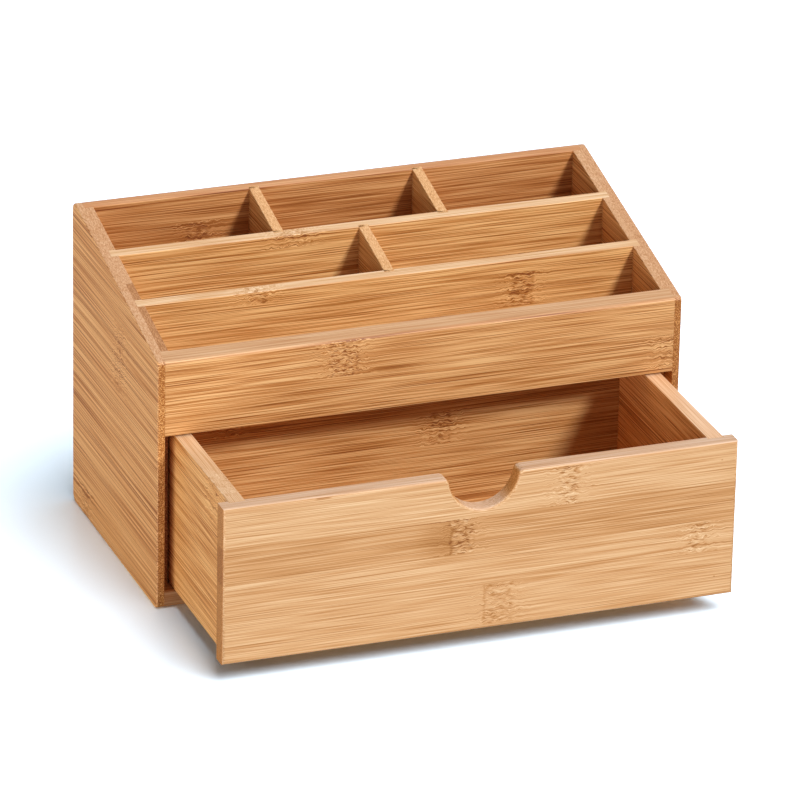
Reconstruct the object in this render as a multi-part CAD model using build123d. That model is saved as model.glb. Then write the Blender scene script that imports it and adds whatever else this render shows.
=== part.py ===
from build123d import *
import os

# A bamboo makeup organizer: an open carcass with a sloping top, three rows of compartments,
# and one drawer with a finger notch that slides on the bottom panel.
# Millimetres. X runs to the right, Y to the back, Z up. The origin is the middle of the
# carcass's footprint, on the surface that it stands on.

# Carcass, outside
width = 320.0
depth = 161.4
back_height = 192.6
front_height = 154.5
corner_round = 5.0
front_top_round = 2.5

# Boards of the carcass
side_thick = 9.7
front_thick = 10.4
back_thick = 9.9
bottom_thick = 11.0
floor_thick = 6.0
divider_thick = 6.2
bay_height = 97.8

# Housings: what is left of a side outside its rabbets, and how deep the grooves are
side_lip = 4.5
groove_depth = 4.5
stub_depth = 2.0

# Compartments: how many in the rear and in the middle row
rear_count = 3
middle_count = 2

# Drawer
drawer_front_thick = 10.0
drawer_side_thick = 9.9
drawer_back_thick = 9.5
drawer_bottom_thick = 5.0
drawer_bottom_rise = 7.0
drawer_open = 101.8
side_gap = 1.3
front_end_gap = 0.6
under_gap = 0.3
over_gap = 1.3
back_gap = 0.5

# Finger notch in the drawer front, and eased edges
notch_radius = 21.0
notch_shoulder = 4.0
front_round = 2.0
edge_ease = 0.8
inner_ease = 0.5

# Places that follow from the sizes above
right = width / 2
inner_right = right - side_thick
lip_right = right - side_lip
groove_right = inner_right + groove_depth
front = -depth / 2
back = depth / 2
front_board_back = front + front_thick
back_panel_front = back - back_thick
bay_top = bottom_thick + bay_height
floor_top = bay_top + floor_thick
row_depth = (back_panel_front - front_board_back - 2 * divider_thick) / 3
front_divider = front_board_back + row_depth
rear_divider = front_divider + divider_thick + row_depth

closed_back = back_panel_front - back_gap
drawer_y = front - drawer_open
drawer_back_y = closed_back - drawer_open
drawer_z = bottom_thick + under_gap
drawer_top = bay_top - over_gap
drawer_height = drawer_top - drawer_z
drawer_right = inner_right - side_gap
drawer_inner = drawer_right - drawer_side_thick
drawer_lip = drawer_right - drawer_side_thick / 2
front_right = lip_right - front_end_gap


def slope_z(y):
    """Height of the sloping top at a place front to back."""
    return front_height + (back_height - front_height) * (y - front) / depth


def slab(x0, x1, y0, y1, z0, z1):
    """A square-edged board between two corners."""
    board = Box(x1 - x0, y1 - y0, z1 - z0, align=(Align.MIN, Align.MIN, Align.MIN))
    return Pos(x0, y0, z0) * board


def carcass_profile():
    """The side view of the glued-up carcass: the corner above the front board is rounded less."""
    points = [(front, 0), (back, 0), (back, back_height), (front, front_height)]
    face = make_face(Polyline(*points, close=True))
    face = fillet([v for v in face.vertices() if not is_front_top(v)], corner_round)
    face = fillet([v for v in face.vertices() if is_front_top(v)], front_top_round)
    return Plane.YZ * face


def is_front_top(corner):
    return abs(corner.X - front) < 0.01 and abs(corner.Y - front_height) < 0.01


def envelope(x0, x1):
    """The space inside the carcass profile, between two places across the width."""
    return extrude(Pos(x0, 0, 0) * carcass_profile(), x1 - x0)


def planed(board):
    """A board cut to the profile, as the glued-up carcass is planed and rounded."""
    return board & envelope(-width, width)


def in_slope(edge):
    """Whether an edge lies in the sloping top."""
    return all(abs(v.Z - slope_z(v.Y)) < 0.01 for v in edge.vertices())


def ease_top(board, along, radius):
    """Ease a planed board's top edges that run along one direction."""
    def wanted(edge):
        ends = edge.vertices()
        run = (ends[0].X - ends[-1].X, ends[0].Y - ends[-1].Y)
        return in_slope(edge) and abs(run[along]) > radius and abs(run[1 - along]) < 0.01
    return fillet([e for e in board.edges() if wanted(e)], radius)


def divider_places(count):
    """Middles of the short dividers that cut a row into equal compartments."""
    span = (2 * inner_right - (count - 1) * divider_thick) / count
    first = -inner_right + span + divider_thick / 2
    return [first + i * (span + divider_thick) for i in range(count - 1)]


def short_stock(x, y0, y1):
    """A short divider's board: it enters the board at each of its ends by a stub."""
    half = divider_thick / 2
    return slab(x - half, x + half, y0 - stub_depth, y1 + stub_depth, floor_top, back_height)


def rear_stocks():
    y0 = rear_divider + divider_thick
    return [short_stock(x, y0, back_panel_front) for x in divider_places(rear_count)]


def middle_stocks():
    y0 = front_divider + divider_thick
    return [short_stock(x, y0, rear_divider) for x in divider_places(middle_count)]


def side_panel(hand):
    """A side: rabbeted at its front, back and bottom, and grooved for what it carries."""
    slab_face = Pos(inner_right, 0, 0) * carcass_profile()
    panel = extrude(slab_face, side_thick)
    outside = panel.faces().sort_by(Axis.X)[-1]
    panel = fillet(outside.edges(), edge_ease)
    panel -= slab(0, lip_right, front, front_board_back, 0, back_height)
    panel -= slab(0, lip_right, back_panel_front, back, 0, back_height)
    panel -= slab(0, lip_right, front, back, 0, bottom_thick)
    panel -= slab(0, groove_right, front, back, bay_top, floor_top)
    for y in (front_divider, rear_divider):
        panel -= slab(0, groove_right, y, y + divider_thick, floor_top, back_height)
    panel = ease_side_top(panel)
    return panel if hand > 0 else mirror(panel, about=Plane.YZ)


def ease_side_top(panel):
    """Ease the inner top edge of a side along each row of compartments."""
    def wanted(edge):
        on_inner = all(abs(v.X - inner_right) < 0.01 for v in edge.vertices())
        return on_inner and in_slope(edge)
    return fillet([e for e in panel.edges() if wanted(e)], inner_ease)


def back_panel():
    """The back: it fills the rabbets of the sides and is rounded with the profile."""
    panel = planed(slab(-lip_right, lip_right, back_panel_front, back, 0, back_height))
    for stock in rear_stocks():
        panel -= stock
    return ease_cross(panel)


def ease_cross(board):
    """Ease the top edges of a board across the width, only where it shows between the sides."""
    middle = board & slab(-inner_right, inner_right, front, back, 0, back_height)
    middle = ease_top(middle, 0, inner_ease)
    ends = board - slab(-inner_right, inner_right, front, back, 0, back_height)
    return middle + ends


def bottom_panel():
    """The bottom: the drawer slides on it, and its front edge shows under the drawer."""
    return planed(slab(-lip_right, lip_right, front, back_panel_front, 0, bottom_thick))


def upper_front_board():
    """The board above the drawer, planed to the slope and rounded into its face."""
    board = planed(slab(-lip_right, lip_right, front, front_board_back, bay_top, back_height))
    return ease_cross(board)


def compartment_floor():
    """The floor of the compartments and ceiling of the drawer bay, grooved into the sides."""
    return slab(-groove_right, groove_right, front_board_back, back_panel_front, bay_top, floor_top)


def long_divider(y, stubs):
    """A divider from side to side, with a housing for each short divider that meets it."""
    board = slab(-groove_right, groove_right, y, y + divider_thick, floor_top, back_height)
    board = planed(board)
    for stock in stubs:
        board -= stock
    return ease_cross(board)


def short_divider(stock, y0, y1):
    """A short divider, eased along its top between the boards that hold it."""
    board = planed(stock)
    shown = slab(-width, width, y0, y1, 0, back_height)
    return ease_top(board & shown, 1, inner_ease) + (board - shown)


def drawer_front():
    """The drawer front: a finger notch routed in its top edge, and a rounded face."""
    face = Pos(0, drawer_z + drawer_height / 2) * Rectangle(2 * front_right, drawer_height)
    face -= Pos(0, drawer_top) * Circle(notch_radius)
    shoulders = [v for v in face.vertices() if abs(abs(v.X) - notch_radius) < 0.01]
    face = fillet(shoulders, notch_shoulder)
    board = extrude(Plane.XZ.offset(-drawer_y) * face, -drawer_front_thick)
    shown = board.faces().sort_by(Axis.Y)[0]
    board = fillet(shown.edges(), front_round)
    for hand in (-1, 1):
        board -= drawer_side_stock(hand)
    return board - drawer_bottom_stock()


def drawer_side_stock(hand):
    """A drawer side's board: its front end is housed in the drawer front."""
    y0 = drawer_y + drawer_front_thick - stub_depth
    xs = sorted((hand * drawer_inner, hand * drawer_right))
    return slab(xs[0], xs[1], y0, drawer_back_y, drawer_z, drawer_top)


def drawer_bottom_stock():
    """The drawer bottom's board: its four edges are in grooves."""
    x = drawer_inner + groove_depth
    y0 = drawer_y + drawer_front_thick - groove_depth
    y1 = drawer_back_y - drawer_back_thick + groove_depth
    z0 = drawer_z + drawer_bottom_rise
    return slab(-x, x, y0, y1, z0, z0 + drawer_bottom_thick)


def drawer_back_stock():
    """The drawer back's board: its ends are in rabbets in the drawer sides."""
    y0 = drawer_back_y - drawer_back_thick
    return slab(-drawer_lip, drawer_lip, y0, drawer_back_y, drawer_z, drawer_top)


def ease_drawer_top(board, along, shown):
    """Ease the level top edges of a drawer board, only where they show."""
    def wanted(edge):
        ends = edge.vertices()
        run = (abs(ends[0].X - ends[-1].X), abs(ends[0].Y - ends[-1].Y))
        return all(abs(v.Z - drawer_top) < 0.01 for v in ends) and run[along] > 2 * inner_ease
    middle = board & shown
    middle = fillet([e for e in middle.edges() if wanted(e)], inner_ease)
    return middle + (board - shown)


def drawer_side(hand):
    board = drawer_side_stock(hand) - drawer_back_stock() - drawer_bottom_stock()
    y0 = drawer_y + drawer_front_thick
    shown = slab(-width, width, y0, drawer_back_y - drawer_back_thick, 0, back_height)
    return ease_drawer_top(board, 1, shown)


def drawer_back():
    board = drawer_back_stock() - drawer_bottom_stock()
    shown = slab(-drawer_inner, drawer_inner, drawer_y, back, 0, back_height)
    return ease_drawer_top(board, 0, shown)


def pieces():
    """Every separate board of the organizer, by name."""
    rear, middle = rear_stocks(), middle_stocks()
    found = {
        "side_panel_left": side_panel(-1),
        "side_panel_right": side_panel(1),
        "back_panel": back_panel(),
        "bottom_panel": bottom_panel(),
        "upper_front_board": upper_front_board(),
        "compartment_floor": compartment_floor(),
        "long_divider_rear": long_divider(rear_divider, rear + middle),
        "long_divider_front": long_divider(front_divider, middle),
        "drawer_front": drawer_front(),
        "drawer_side_left": drawer_side(-1),
        "drawer_side_right": drawer_side(1),
        "drawer_back": drawer_back(),
        "drawer_bottom": drawer_bottom_stock(),
    }
    for name, stock in zip(("left", "right"), rear):
        y0 = rear_divider + divider_thick
        found["short_divider_rear_" + name] = short_divider(stock, y0, back_panel_front)
    y0 = front_divider + divider_thick
    found["short_divider_middle"] = short_divider(middle[0], y0, rear_divider)
    return found


os.makedirs("parts", exist_ok=True)
for name, piece in pieces().items():
    export_step(piece, f"parts/{name}.step")
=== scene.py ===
import math

import bmesh
import bpy
from mathutils import Matrix, Vector


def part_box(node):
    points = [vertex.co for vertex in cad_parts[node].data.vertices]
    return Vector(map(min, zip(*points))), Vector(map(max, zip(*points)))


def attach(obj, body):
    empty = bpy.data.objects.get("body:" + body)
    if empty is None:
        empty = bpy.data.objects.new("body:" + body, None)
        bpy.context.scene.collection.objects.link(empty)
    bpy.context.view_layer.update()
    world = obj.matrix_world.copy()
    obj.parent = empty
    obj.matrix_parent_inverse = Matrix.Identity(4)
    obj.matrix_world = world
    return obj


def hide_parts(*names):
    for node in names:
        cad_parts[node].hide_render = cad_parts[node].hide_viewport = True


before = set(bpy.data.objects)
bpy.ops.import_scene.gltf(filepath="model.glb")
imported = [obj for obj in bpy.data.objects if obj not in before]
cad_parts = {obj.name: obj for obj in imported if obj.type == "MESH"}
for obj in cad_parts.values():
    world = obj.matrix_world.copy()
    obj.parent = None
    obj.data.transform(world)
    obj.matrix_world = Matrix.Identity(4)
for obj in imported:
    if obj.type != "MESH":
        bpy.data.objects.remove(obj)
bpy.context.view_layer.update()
bpy.ops.object.select_all(action="DESELECT")

# The two sides stand the whole height of the organizer. Each is a laminated bamboo board, planed to
# the slope of the top and rounded at its four corners. Rabbets and grooves in its inner face hold
# the other boards.
mm = 0.001
tolerance = 0.01 * mm
side_low, side_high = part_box("side_panel_right")
front, back = side_low.y, side_high.y
side_inner, right = side_low.x, side_high.x
depth = back - front
front_height = 154.5 * mm
back_height = 192.6 * mm
slope = math.atan2(back_height - front_height, depth)
planed_normal = Vector((0, -math.sin(slope), math.cos(slope)))
corner_round = 5 * mm
front_top_round = 2.5 * mm
outer_ease = 0.8 * mm
inner_ease = 0.5 * mm
joint_ease = 0.25 * mm
rounded_below = math.radians(40)
rough_top = back_height + corner_round
lip_thick = 4.5 * mm
lip_right = right - lip_thick
glue_gap = 0.08 * mm
overcut = 1 * mm
board_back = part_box("upper_front_board")[1].y
panel_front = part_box("back_panel")[0].y
bottom_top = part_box("bottom_panel")[1].z
floor_low, floor_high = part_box("compartment_floor")
rabbets = (
    ((front - overcut, -overcut), (board_back, rough_top)),
    ((panel_front, -overcut), (back + overcut, rough_top)),
    ((front - overcut, -overcut), (back + overcut, bottom_top)),
)
grooves = [((front - overcut, floor_low.z), (back + overcut, floor_high.z))]
for row in ("front", "rear"):
    low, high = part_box("long_divider_" + row)
    grooves.append(((low.y - glue_gap, floor_high.z - overcut), (high.y + glue_gap, rough_top)))


def plank(name, low, high):
    """A square-edged board between two corners."""
    middle = [(a + b) / 2 for a, b in zip(low, high)]
    bpy.ops.object.select_all(action="DESELECT")
    bpy.ops.mesh.primitive_cube_add(size=1, location=middle)
    board = bpy.context.object
    board.name = name
    board.data.name = name
    bpy.ops.object.mode_set(mode="EDIT")
    bpy.ops.transform.resize(value=[b - a for a, b in zip(low, high)], center_override=middle)
    bpy.ops.object.mode_set(mode="OBJECT")
    bpy.ops.object.transform_apply(location=True, rotation=True, scale=True)
    return board


def plane_off(board, point, normal, only_score=False):
    """Takes off what lies outside a plane and closes the cut, or only scores a line there."""
    bpy.ops.object.mode_set(mode="EDIT")
    bpy.ops.mesh.select_all(action="SELECT")
    bpy.ops.mesh.bisect(plane_co=point, plane_no=normal, use_fill=not only_score, clear_outer=not only_score)
    bpy.ops.object.mode_set(mode="OBJECT")


def round_edges(board, size, chosen, steps=3):
    """Rounds the edges that have both their ends where a test says."""
    bpy.ops.object.mode_set(mode="EDIT")
    bpy.ops.mesh.select_mode(type="EDGE")
    bpy.ops.mesh.select_all(action="DESELECT")
    shape = bmesh.from_edit_mesh(board.data)
    picked = [edge for edge in shape.edges if all(chosen(vertex.co) for vertex in edge.verts)]
    for edge in picked:
        edge.select_set(True)
    bmesh.update_edit_mesh(board.data)
    if picked:
        bpy.ops.mesh.bevel(offset=size, segments=steps, affect="EDGES")
    bpy.ops.object.mode_set(mode="OBJECT")


def near(a, b):
    return abs(a - b) < tolerance


def slope_height(y):
    """How high the planed top is at a place from front to back."""
    return front_height + (back_height - front_height) * (y - front) / depth


def plane_to_profile(board):
    """Planes a board to the slope and rounds its share of the carcass's four corners."""
    plane_off(board, (0, front, front_height), planed_normal)
    corners = (
        (front, 0, math.pi / 2, corner_round),
        (back, 0, math.pi / 2, corner_round),
        (front, front_height, math.pi / 2 + slope, front_top_round),
        (back, back_height, math.pi / 2 - slope, corner_round),
    )
    for y, z, angle, radius in corners:
        offset = radius / math.tan(angle / 2)
        round_edges(board, offset, lambda p: near(p.y, y) and near(p.z, z), steps=8)


def take_up(board):
    """Makes a board the only one that is selected, and the active one."""
    bpy.ops.object.select_all(action="DESELECT")
    board.select_set(True)
    bpy.context.view_layer.objects.active = board


def cut_away(board, cutter):
    """Cuts a board by another solid, which is used up."""
    saw = board.modifiers.new("saw", "BOOLEAN")
    saw.object = cutter
    saw.operation = "DIFFERENCE"
    saw.solver = "EXACT"
    take_up(board)
    bpy.ops.object.modifier_apply(modifier=saw.name)
    bpy.data.objects.remove(cutter)


def cut_housing(board, low, high):
    """Cuts a rabbet, groove or housing: the space between two corners."""
    cut_away(board, plank("cutter", low, high))


def in_rabbet(p):
    """Tells whether a point of a side is in the rabbet of the front board, the back or the bottom."""
    front_or_back = p.y < board_back - tolerance or p.y > panel_front + tolerance
    return front_or_back or p.z < bottom_top - tolerance


def side_board(hand, name):
    """A side with its rabbets and grooves, on the left (-1) or the right (1) hand."""
    outer, inner, lip = (hand * x for x in (right, side_inner, lip_right))
    x0, x1 = sorted((inner, outer))
    side = plank("side_" + name, (x0, front, 0), (x1, back, rough_top))
    plane_to_profile(side)
    round_edges(side, outer_ease, lambda p: near(p.x, outer))
    for reach, cuts in ((lip_right, rabbets), (floor_high.x + glue_gap, grooves)):
        x0, x1 = sorted((0, hand * reach))
        for low, high in cuts:
            cut_housing(side, (x0, *low), (x1, *high))
    round_edges(side, joint_ease, lambda p: near(p.x, lip) and in_rabbet(p), steps=2)
    round_edges(side, inner_ease, lambda p: near(p.x, inner) and near(p.z, slope_height(p.y)))
    return side


def seat(board, node, body, finish):
    """Smooths a finished board's rounded edges, gives it its finish, and puts it in its node's place."""
    take_up(board)
    bpy.ops.object.shade_smooth_by_angle(angle=rounded_below)
    even = board.modifiers.new("even", "WEIGHTED_NORMAL")
    even.keep_sharp = True
    bpy.ops.object.modifier_apply(modifier=even.name)
    board.data.materials.append(finish)
    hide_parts(node)
    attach(board, body)


class Grain:
    """A value in a finish: arithmetic on it adds Math nodes, and node() adds any other node."""

    def __init__(self, tree, made=None, output=0):
        self.tree = tree
        self.made = made
        self.output = output

    def node(self, kind, settings, sockets, output=0):
        made = self.tree.nodes.new("ShaderNode" + kind)
        for name, value in settings.items():
            if name == "stops":
                while len(made.color_ramp.elements) < len(value):
                    made.color_ramp.elements.new(1.0)
                for element, (place, colour) in zip(made.color_ramp.elements, value):
                    element.position = place
                    element.color = (*colour, 1)
            else:
                setattr(made, name, value)
        for name, value in sockets.items():
            if isinstance(value, Grain):
                self.tree.links.new(value.made.outputs[value.output], made.inputs[name])
            else:
                made.inputs[name].default_value = value
        return Grain(self.tree, made, output)

    def beside(self, output):
        """Another output of the same node."""
        return Grain(self.tree, self.made, output)

    def math(self, operation, *values):
        return self.node("Math", {"operation": operation}, dict(enumerate(values)))

    def __add__(self, other):
        return self.math("ADD", self, other)

    def __sub__(self, other):
        return self.math("SUBTRACT", self, other)

    def __rsub__(self, other):
        return self.math("SUBTRACT", other, self)

    def __mul__(self, other):
        return self.math("MULTIPLY", self, other)

    def __gt__(self, other):
        return self.math("GREATER_THAN", self, other)

    def __lt__(self, other):
        return self.math("LESS_THAN", self, other)

    def __abs__(self):
        return self.math("ABSOLUTE", self)

    __radd__ = __add__
    __rmul__ = __mul__

    def fade(self, zero, one):
        """0 at one value and 1 at another, with a smooth step between them."""
        return self.node("MapRange", {"interpolation_type": "SMOOTHSTEP"}, {0: self, 1: zero, 2: one})

    def tinted(self, tint, amount):
        """A colour times a tint, by some amount of it."""
        settings = {"data_type": "RGBA", "blend_type": "MULTIPLY"}
        return self.node("Mix", settings, {0: amount, 6: self, 7: (*tint, 1)}, 2)


def blank(owner):
    """Empties the nodes of a material or the world, and gives a value to start from."""
    owner.use_nodes = True
    owner.node_tree.nodes.clear()
    return Grain(owner.node_tree)


def noise(x, y, z, detail=1.0):
    """Noise at a point, of which the first coordinate at least is a value in a finish."""
    place = x.node("CombineXYZ", {}, {0: x, 1: y, 2: z})
    return x.node("TexNoise", {}, {"Vector": place, "Scale": 1.0, "Detail": detail})


def glue_up(at, seams, tones, seed, ply):
    """The strips of a board: the tone of each, the shift that parts its grain, and their glue lines."""
    strip_shift = 7.3
    ply_shift = 3.1
    along, across, through = at
    tone, shift, glue_lines = tones[0], seed, 0.0
    for seam, below, above in zip(seams, tones, tones[1:]):
        beyond = across > seam
        shift = beyond * strip_shift + shift
        tone = beyond * (above - below) + tone
        glue_lines = abs(across - seam).fade(0.4, 0.1) + glue_lines
    if ply:
        ply_seam, ply_end, tone_step = ply
        reached = along < ply_end
        behind = (through > ply_seam) * reached
        shift = behind * ply_shift + shift
        tone = behind * tone_step + tone
        glue_lines = abs(through - ply_seam).fade(0.3, 0.1) * reached + glue_lines
    return tone, shift, glue_lines


def knuckle(along, across, half=10.5, wide=7.0, rough=0.9, dark=0.03, burnt=0.0, line=0):
    """A joint of the bamboo in one strip, in mm: its middle, half its height and half its width.

    Rough is the strength of its squiggles, dark its own shade and burnt that of the wood beside it, to
    the left. Line is the side, -1 or 1, where a thin dark line runs through the strip.
    """
    return along, across, half, wide, rough, dark, burnt, line


def mark_knuckles(at, knuckles, seed, bent):
    """The squiggles and the shade of the knuckles, and the run of the grain, bent round them."""
    burnt_length = 26.0
    bent_length = 16.0
    along, across, through = at
    squiggles, shade = 0.0, 0.0
    for middle, height, half, wide, rough, dark, burnt, line in knuckles:
        ragged = (noise(across * 0.35, seed + middle, through * 0.1, 3.0) - 0.5) * 9
        off = ragged + along - middle
        in_strip = abs(across - height).fade(half + 0.3, half - 0.3)
        core = abs(off).fade(wide + 1.5, wide - 2.0) * in_strip
        swirl = noise(along * 0.22 + middle, across * 0.25, through * 0.1, 2.0) - 0.5
        flecks = noise(along * 0.24 + middle, across * 1.25 + swirl * 4, through * 0.1)
        squiggles = core * (flecks.fade(0.42, 0.34) * 0.5 - flecks.fade(0.53, 0.63)) * rough + squiggles
        to_left = off.fade(-wide - burnt_length, -wide) * off.fade(2.5 - wide, -wide) * in_strip
        shade = core * dark + to_left * burnt + shade
        bent = abs(off).fade(wide + bent_length, wide) * in_strip * swirl * 5 + bent
        if line:
            straight = along - (middle + line * (wide - 0.5)) + ragged * 0.5
            shade = abs(straight).fade(1.4, 0.2) * in_strip * flecks * 0.2 + shade
    return squiggles, shade, bent


def bamboo(name, axes, seams, tones, knuckles, seed, bold=1.0, tint=(1, 1, 1), marks=(), ply=None,
           top=(1, 1.07, 1.35), ends=0.2, stretch=1.0):
    """Laminated bamboo under a satin lacquer.

    The axes run along the grain, across the strips and through the board. Seams are the glue lines
    across the board in mm, and tones say how pale each strip is. A ply is a glue line through the
    board: where it is, how far along it reaches, and the step in tone behind it. Marks are dark spots
    and lines: their middle, half length and half height. Seed sets the board's grain apart, bold is
    the strength of the grain, and stretch how long its fibres are. Tint colours all but the end grain;
    for some boards it holds painted light or shade besides their own tone. Top is the tint, over that,
    of the faces across the strips, the planed tops and edges: a painted sheen that makes them paler.
    Ends tells how dark the end grain is.
    """
    middle_tone = 0.65
    top_bold = 0.45
    finish = bpy.data.materials.new(name)
    start = blank(finish)
    place = start.node("SeparateXYZ", {}, {0: start.node("TexCoord", {}, {}, "Object")})
    facing = start.node("SeparateXYZ", {}, {0: start.node("TexCoord", {}, {}, "Normal")})
    at = [place.beside(axis) * (1 / mm) for axis in axes]
    along, across, through = at
    end_grain = abs(facing.beside(axes[0])).fade(0.5, 0.9)
    top_grain = abs(facing.beside(axes[1])).fade(0.5, 0.9)

    tone, shift, glue_lines = glue_up(at, seams, tones, seed, ply)
    wandering = (noise(along * 0.005, shift, through * 0.02, 0.0) - 0.5) * 2 + across
    squiggles, shade, bent = mark_knuckles(at, knuckles, seed, wandering)
    for middle, height, half_long, half_high in marks:
        in_length = abs(along - middle).fade(half_long, half_long * 0.4)
        in_height = abs(across - height).fade(half_high, half_high * 0.4)
        shade = in_length * in_height * 0.3 + shade

    # Streaks along the grain, from wide and soft ones to fine ones.
    along = along * (1 / stretch)
    patches = noise(along * 0.012, bent * 0.1, through * 0.1 + shift) - 0.5
    bands = noise(along * 0.006, bent * 0.33, through * 0.33 + shift) - 0.5
    dashes = noise(along * 0.012, bent * 0.8, through + shift * 2) - 0.5
    hairs = noise(along * 0.018, bent * 2.4, through * 2.4 + shift) - 0.5
    fibres = noise(along * 0.014, bent * 1.5, through * 1.5 + shift).fade(0.52, 0.66)
    streaks = patches * 0.16 + bands * 0.13 + dashes * 0.22 + hairs * 2.2 + 0.06 - fibres * 0.31
    contrast = bold - top_grain * (bold - top_bold)
    pale = streaks * contrast + tone + middle_tone - glue_lines * 0.06 - shade + squiggles * 0.45
    # Darker on the end grain, which is the wood's own, and a little paler on the faces across the strips:
    # painted sheen.
    pale = pale - end_grain * (ends - hairs * 0.15) + top_grain * 0.05
    browns = (
        (0.0, (0.235, 0.061, 0.006)),
        (0.3, (0.40, 0.146, 0.024)),
        (0.6, (0.62, 0.28, 0.08)),
        (1.0, (0.87, 0.53, 0.22)),
    )
    colour = start.node("ValToRGB", {"stops": browns}, {0: pale})
    # The top tint makes the faces across the strips paler: painted sheen. The tint of some boards holds
    # painted light or shade too.
    colour = colour.tinted(tint, 1 - end_grain).tinted(top, top_grain)
    relief = fibres * -0.1 + hairs * 0.2 + squiggles
    bump = start.node("Bump", {}, {"Strength": 0.35, "Distance": 0.25 * mm, "Height": relief})
    sockets = {"Base Color": colour, "Roughness": 0.5 - hairs * 0.15, "Normal": bump}
    start.node("OutputMaterial", {}, {0: start.node("BsdfPrincipled", {}, sockets)})
    return finish


sides = (
    (
        -1, "left", (21.5, 41.5, 64, 85, 106.5, 128, 150, 171),
        (0.0, -0.04, 0.02, 0.0, 0.04, 0.05, -0.02, 0.0, -0.03),
        (knuckle(-11, 139, wide=6, rough=0.5), knuckle(-8, 117, rough=0.6), knuckle(55, 8, half=12)),
        (-154.8, -5, -0.3),
    ),
    (
        1, "right", (18, 40, 61, 82, 104, 125, 147, 169),
        (0.02, -0.03, 0.0, 0.04, -0.03, 0.0, 0.03, -0.02, 0.0),
        (knuckle(20, 93), knuckle(-48, 50.5, burnt=0.1, line=-1), knuckle(46, 158, rough=0.7)),
        (154.8, 81, -0.05),
    ),
)
for hand, name, seams, tones, knuckles, ply in sides:
    finish = bamboo(
        "bamboo_side_" + name, "YZX", seams, tones, knuckles, seed=3.0 + hand, bold=1.2,
        tint=(1.0, 0.91, 0.86), ply=ply, top=(0.84, 0.98, 1.5), ends=0.33, stretch=2.5,
    )
    seat(side_board(hand, name), "side_panel_" + name, "carcass", finish)

# The back is one board in rabbets of the sides. It is planed and rounded with them, and housings in
# its inner face take the rear ends of two short dividers.
between_sides = (-side_inner, side_inner)


def cross_plank(name, half_width, y0, y1, z0, z1):
    """A board across the width, planed to the profile of the sides."""
    board = plank(name, (-half_width, y0, z0), (half_width, y1, z1))
    plane_to_profile(board)
    return board


def square_off(board, axis, ends):
    """Ends an easing squarely at two places, where rounding leaves thin points beyond them."""
    remnant = 0.02 * mm
    bpy.ops.object.mode_set(mode="EDIT")
    bpy.ops.mesh.select_mode(type="VERT")
    for end, out in zip(ends, (-1, 1)):
        bpy.ops.mesh.select_all(action="DESELECT")
        shape = bmesh.from_edit_mesh(board.data)
        for vertex in shape.verts:
            vertex.select_set(near(vertex.co[axis], end + out * inner_ease))
        bmesh.update_edit_mesh(board.data)
        move = Vector()
        move[axis] = out * (remnant - inner_ease)
        bpy.ops.transform.translate(value=move)
    bpy.ops.object.mode_set(mode="OBJECT")


def ease_top(board, axis, ends, faces, height=slope_height):
    """Eases the top edges of a board's faces between two places along an axis, where they show."""
    normal = Vector()
    normal[axis] = 1
    for end in ends:
        plane_off(board, normal * end, normal, only_score=True)
    for face in faces:
        def on_edge(p):
            shown = ends[0] - tolerance < p[axis] < ends[1] + tolerance
            return shown and near(p[1 - axis], face) and near(p.z, height(p.y))
        round_edges(board, inner_ease, on_edge)
    square_off(board, axis, ends)


def cut_stub_housings(board, nodes):
    """Cuts the housings that take the ends of short dividers."""
    gap = Vector((glue_gap, glue_gap, 0))
    for node in nodes:
        low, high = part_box(node)
        cut_housing(board, low - gap, Vector((high.x, high.y, back_height + overcut)) + gap)


rear_short = ["short_divider_rear_left", "short_divider_rear_right"]
back_board = cross_plank("back_board", lip_right, panel_front, back, 0, rough_top)
ease_top(back_board, 0, between_sides, [panel_front])
cut_stub_housings(back_board, rear_short)
finish = bamboo(
    "bamboo_back", "XZY", (22, 44, 66, 88, 110, 131, 152.5, 174),
    (0.0, 0.03, -0.03, 0.0, 0.04, -0.02, 0.0, -0.05, 0.0),
    (
        knuckle(-86, 163, dark=0.06), knuckle(61, 99, wide=8), knuckle(-32, 33, burnt=0.1),
        knuckle(118, 142, rough=0.7), knuckle(-121, 77, burnt=0.1, line=-1),
    ),
    # The dark tint is partly the board's own tone and partly painted shade, for the deep compartments before
    # its inner face.
    seed=11.0, tint=(0.80, 0.68, 0.64),
)
seat(back_board, "back_panel", "carcass", finish)

# The bottom is the board that the drawer slides on, in rabbets of the sides. Its front edge shows
# under the drawer.
bottom_board = cross_plank("bottom_board", lip_right, front, panel_front, 0, bottom_top)
finish = bamboo(
    "bamboo_bottom", "XYZ", (-58, -36, -14, 8, 30, 52), (0.0, -0.03, 0.03, 0.0, -0.02, 0.03, 0.0),
    (knuckle(40, -25, wide=8), knuckle(-90, 19, burnt=0.1, line=-1), knuckle(105, 41, rough=0.7)),
    seed=23.0, tint=(0.62, 0.52, 0.5),
)
seat(bottom_board, "bottom_panel", "carcass", finish)

# The upper front board lies in rabbets of the sides, above the drawer. Its top is planed to the
# slope, and its upper edge is rounded into the face.
front_board = cross_plank("front_board", lip_right, front, board_back, floor_low.z, back_height)
ease_top(front_board, 0, between_sides, [board_back])
finish = bamboo(
    "bamboo_front", "XZY", (111, 132.5), (-0.02, 0.0, 0.03),
    (
        knuckle(-48, 143, half=10.8, wide=9.5, rough=1.3, burnt=0.05),
        knuckle(152, 121.5, wide=5, rough=0.5),
    ),
    # The first mark is a long dark line along the foot of the rounded upper edge.
    seed=37.0, tint=(0.91, 0.89, 0.94), marks=((30, 154.1, 130, 0.9), (-54, 152.6, 5, 0.7)),
    top=(0.87, 0.95, 1.25),
)
seat(front_board, "upper_front_board", "carcass", finish)

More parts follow.
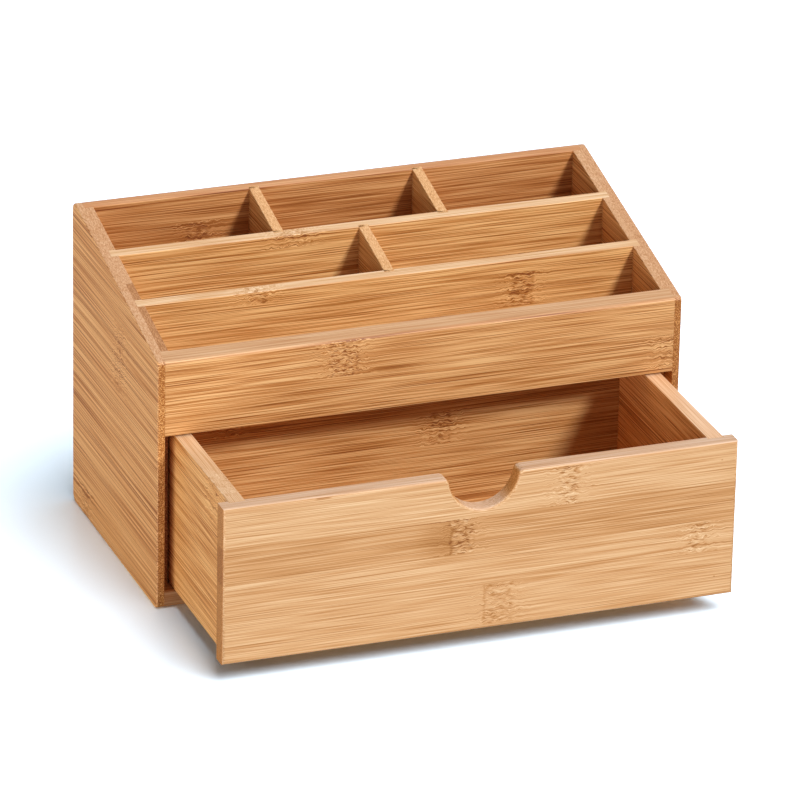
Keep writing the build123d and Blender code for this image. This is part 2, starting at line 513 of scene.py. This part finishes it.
# The floor of the compartments is a thin board in grooves of the sides. It is also the ceiling over
# the drawer.
floor_board = plank("compartment_base", floor_low, floor_high)
finish = bamboo(
    "bamboo_floor", "XYZ", (-50, -28, -6, 16, 38, 60), (0.0, 0.03, -0.03, 0.0, 0.02, -0.03, 0.0),
    (knuckle(-60, 5), knuckle(70, -39, burnt=0.1, line=-1), knuckle(20, 49, rough=0.7)), seed=41.0,
)
seat(floor_board, "compartment_floor", "carcass", finish)

# Two long dividers of thin board run from side to side. Their ends are in grooves and show in the
# sides' tops, and housings in their faces take the ends of the short dividers.
long_dividers = (
    (
        "front", (117, 138.5, 159.5),
        (knuckle(81, 149, dark=0.18, burnt=0.1, line=1), knuckle(-82, 170, wide=6)),
        ["short_divider_middle"],
    ),
    (
        "rear", (128, 149.5, 171),
        (knuckle(-44, 181.5, wide=9, rough=0.5), knuckle(96, 139, burnt=0.1)),
        ["short_divider_middle"] + rear_short,
    ),
)
for row, seams, knuckles, met in long_dividers:
    low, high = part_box("long_divider_" + row)
    divider = cross_plank("divider_" + row, high.x, low.y, high.y, low.z, back_height)
    ease_top(divider, 0, between_sides, [low.y, high.y])
    cut_stub_housings(divider, met)
    finish = bamboo(
        "bamboo_divider_" + row, "XZY", seams, (0.0, 0.0, 0.02, 0.0), knuckles,
        seed=50.0 + low.y / mm, top=(1, 1.22, 1.9),
    )
    seat(divider, "long_divider_" + row, "carcass", finish)

# Short dividers of thin board part the rear row in three and the middle row in two. Their stubs
# enter the boards at their ends.
stub = 2 * mm
for place in ("rear_left", "rear_right", "middle"):
    low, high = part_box("short_divider_" + place)
    divider = plank("divider_" + place, low, (high.x, high.y, back_height))
    plane_to_profile(divider)
    ease_top(divider, 1, (low.y + stub, high.y - stub), [low.x, high.x])
    finish = bamboo(
        "bamboo_divider_" + place, "YZX", (128, 149.5, 171), (0.0, 0.02, -0.02, 0.0), (),
        seed=70.0 + low.x / mm,
    )
    seat(divider, "short_divider_" + place, "carcass", finish)

# The drawer front is a wide board with a half-round finger notch in its top edge. Its face is
# rounded all round, housings in its back take the drawer sides, and a groove takes the bottom.
face_low, face_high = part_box("drawer_front")
notch_radius = 21 * mm
notch_shoulder = 4 * mm
notch_clear = 5 * mm
front_round = 2 * mm
drawer_top = face_high.z


def notch_cutter():
    """The space of the finger notch, with the round of its two shoulders."""
    to_shoulder = notch_radius + notch_shoulder
    reach = math.sqrt(to_shoulder ** 2 - notch_shoulder ** 2)
    tilt = math.asin(notch_shoulder / to_shoulder)
    y = face_low.y - notch_clear
    bpy.ops.mesh.primitive_plane_add(size=1, location=(-reach, y, drawer_top))
    cutter = bpy.context.object
    bpy.ops.object.transform_apply(location=True, rotation=True, scale=True)
    bpy.ops.object.mode_set(mode="EDIT")
    bpy.ops.mesh.select_mode(type="VERT")
    bpy.ops.mesh.merge(type="CENTER")
    turns = (
        ((-reach, y, drawer_top - notch_shoulder), tilt - math.pi / 2, 8),
        ((0, y, drawer_top), math.pi - 2 * tilt, 40),
        ((reach, y, drawer_top - notch_shoulder), tilt - math.pi / 2, 8),
    )
    for centre, angle, steps in turns:
        bpy.ops.mesh.spin(steps=steps, angle=angle, center=centre, axis=(0, 1, 0))
    for move in ((0, 0, notch_clear), (-2 * reach, 0, 0)):
        bpy.ops.mesh.extrude_region_move(TRANSFORM_OT_translate={"value": move})
    bpy.ops.mesh.select_all(action="SELECT")
    bpy.ops.mesh.edge_face_add()
    through = (0, face_high.y + notch_clear - y, 0)
    bpy.ops.mesh.extrude_region_move(TRANSFORM_OT_translate={"value": through})
    bpy.ops.mesh.select_all(action="SELECT")
    bpy.ops.mesh.normals_make_consistent(inside=False)
    bpy.ops.object.mode_set(mode="OBJECT")
    return cutter


drawer_front = plank("drawer_face", face_low, face_high)
cut_away(drawer_front, notch_cutter())
round_edges(drawer_front, front_round, lambda p: near(p.y, face_low.y), steps=5)
for name in ("left", "right"):
    low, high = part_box("drawer_side_" + name)
    low -= Vector((glue_gap, glue_gap, overcut))
    high += Vector((glue_gap, 0, overcut))
    cut_housing(drawer_front, low, high)
cut_housing(drawer_front, *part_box("drawer_bottom"))
finish = bamboo(
    "bamboo_drawer_front", "XZY", (39.5, 60.2, 82.5), (0.02, 0.03, -0.09, 0.06),
    (
        knuckle(51.5, 94, half=12, wide=6, dark=0.0),
        knuckle(-13, 71.3, half=10.8, burnt=0.16, line=-1),
        knuckle(132, 49.8, half=9.5, wide=6, rough=0.7, dark=0.0),
        knuckle(10, 26.5, half=12.5, wide=9, rough=0.5, dark=0.02, line=-1),
    ),
    # The pale tint is partly the board's own paler tone and partly painted paleness of the bright light on
    # its face.
    seed=91.0, bold=0.5, tint=(0.90, 1.03, 1.45),
    marks=((-96, 106.2, 6, 0.7), (145, 97, 0.7, 0.5), (143, 24, 0.6, 0.6)), top=(0.95, 0.98, 1.2), ends=0.3,
)
seat(drawer_front, "drawer_front", "drawer", finish)

# The drawer sides are thick boards. Their front ends are in the housings of the drawer front, and
# rabbets at their rear ends hold the drawer back.
back_low, back_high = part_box("drawer_back")
drawer_sides = (
    (
        "left", (knuckle(-60, 47), knuckle(-147, 96, half=12, rough=0.3)),
        103.0, (1.1, 1.03, 0.95),
    ),
    (
        "right", (knuckle(-110, 24, half=11.5, burnt=0.1),),
        # The lighter tint is painted light on its inner face, which lies in the drawer's shade.
        117.0, (1.25, 1.15, 1.1),
    ),
)


def drawer_height(y):
    """How high the drawer's boards are, which is the same all along."""
    return drawer_top


for name, knuckles, seed, tint in drawer_sides:
    low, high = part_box("drawer_side_" + name)
    side = plank("drawer_side_board_" + name, low, high)
    ease_top(side, 1, (face_high.y, back_low.y), [low.x, high.x], drawer_height)
    gap = Vector((glue_gap, glue_gap, overcut))
    cut_housing(side, back_low - gap, back_high + Vector((glue_gap, overcut, overcut)))
    cut_housing(side, *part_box("drawer_bottom"))
    finish = bamboo(
        "bamboo_drawer_side_" + name, "YZX", (36, 59.5, 83), (0.0, 0.03, -0.04, 0.08), knuckles,
        seed=seed, tint=tint, top=(0.86, 1.05, 1.7),
    )
    seat(side, "drawer_side_" + name, "drawer", finish)

# The drawer back is a board held between the drawer sides. The thin bottom lies in grooves in the
# four boards round it.
inner_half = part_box("drawer_side_right")[0].x
drawer_back = plank("drawer_back_board", back_low, back_high)
ease_top(drawer_back, 0, (-inner_half, inner_half), [back_low.y, back_high.y], drawer_height)
cut_housing(drawer_back, *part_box("drawer_bottom"))
finish = bamboo(
    "bamboo_drawer_back", "XZY", (40, 62, 84), (0.0, 0.02, 0.0, -0.03),
    (knuckle(27, 73, dark=0.06, rough=0.7), knuckle(-103, 92, half=8, wide=4, rough=0.6)),
    seed=130.0, tint=(0.88, 0.88, 0.92),
)
seat(drawer_back, "drawer_back", "drawer", finish)
drawer_bottom = plank("drawer_base", *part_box("drawer_bottom"))
finish = bamboo(
    "bamboo_drawer_base", "XYZ", (-150, -128, -106, -84, -62), (0.0, 0.03, -0.02, 0.0, 0.03, -0.02),
    (knuckle(-50, -117), knuckle(60, -73, burnt=0.1, line=-1)), seed=150.0,
)
seat(drawer_bottom, "drawer_bottom", "drawer", finish)

# A plain pale floor. The camera sees it and what lies beyond it as white, but for the object's
# shadow. To other rays it is darker, so that little light goes back and forth under the object.
floor_size = 30
seen_white = (1.1, 1.3, 1.48)
unseen_white = 0.27
bpy.ops.mesh.primitive_plane_add(size=floor_size, location=(0, 0, 0))
floor = bpy.context.object
floor.name = "floor"
paint = bpy.data.materials.new("pale_floor")
start = blank(paint)
seen = start.node("LightPath", {}, {}, "Is Camera Ray")
red, green, blue = (seen * (white - unseen_white) + unseen_white for white in seen_white)
pale = start.node("CombineColor", {}, {0: red, 1: green, 2: blue})
sockets = {"Base Color": pale, "Roughness": 0.25, "Specular IOR Level": 0.2}
start.node("OutputMaterial", {}, {0: start.node("BsdfPrincipled", {}, sockets)})
floor.data.materials.append(paint)

# Studio light: a white room, a key from the front right, a soft light from above, and the light that
# a white table throws up at the left side. The floor has a soft light of its own.
room_light = 0.12
world = bpy.data.worlds.new("studio")
start = blank(world)
path = start.node("LightPath", {}, {}, "Is Camera Ray")
seen = path.math("MAXIMUM", path, path.beside("Is Glossy Ray"))
sockets = {"Color": (1, 1, 1, 1), "Strength": seen * (1 - room_light) + room_light}
start.node("OutputWorld", {}, {0: start.node("Background", {}, sockets)})
bpy.context.scene.world = world
only_floor = bpy.data.collections.new("only_floor")
not_on_floor = bpy.data.collections.new("not_on_floor")
for collection, state in ((only_floor, "INCLUDE"), (not_on_floor, "EXCLUDE")):
    collection.objects.link(floor)
    collection.collection_objects[0].light_linking.link_state = state


def soft_sun(name, towards, strength, spread, lit=None, blocked_by=None):
    """A distant soft light that shines in one direction, on all or on the pieces in a collection."""
    lamp = bpy.data.lights.new(name, "SUN")
    lamp.energy = strength
    lamp.angle = math.radians(spread)
    holder = bpy.data.objects.new(name, lamp)
    holder.rotation_euler = Vector(towards).to_track_quat("-Z", "Y").to_euler()
    bpy.context.scene.collection.objects.link(holder)
    holder.light_linking.receiver_collection = lit
    holder.light_linking.blocker_collection = blocked_by


soft_sun("key", (-1, 2, -1.55), 2.65, 10, lit=not_on_floor, blocked_by=not_on_floor)
soft_sun("from_table", (1, 0.5, 0.35), 2.3, 60, lit=not_on_floor, blocked_by=not_on_floor)
soft_sun("above", (-0.4, 0.15, -1), 1.35, 55)
soft_sun("on_table", (-0.28, 0.55, -1), 3, 50, lit=only_floor)

# The camera stands where the photograph was taken from: in front, to the left and above.
eye = Vector((-1.18386, -3.20249, 1.57735))
aim = Vector((0.01663, 0, 0.07474))
roll = math.radians(1.197)
lens = bpy.data.cameras.new("camera")
lens.sensor_width = 36
lens.lens = 285.24
lens.clip_start = 0.1
lens.clip_end = 100
camera = bpy.data.objects.new("camera", lens)
turned = (aim - eye).to_track_quat("-Z", "Y").to_matrix().to_4x4() @ Matrix.Rotation(roll, 4, "Z")
camera.matrix_world = Matrix.Translation(eye) @ turned
bpy.context.scene.collection.objects.link(camera)
bpy.context.scene.camera = camera
bpy.context.scene.view_settings.view_transform = "Standard"
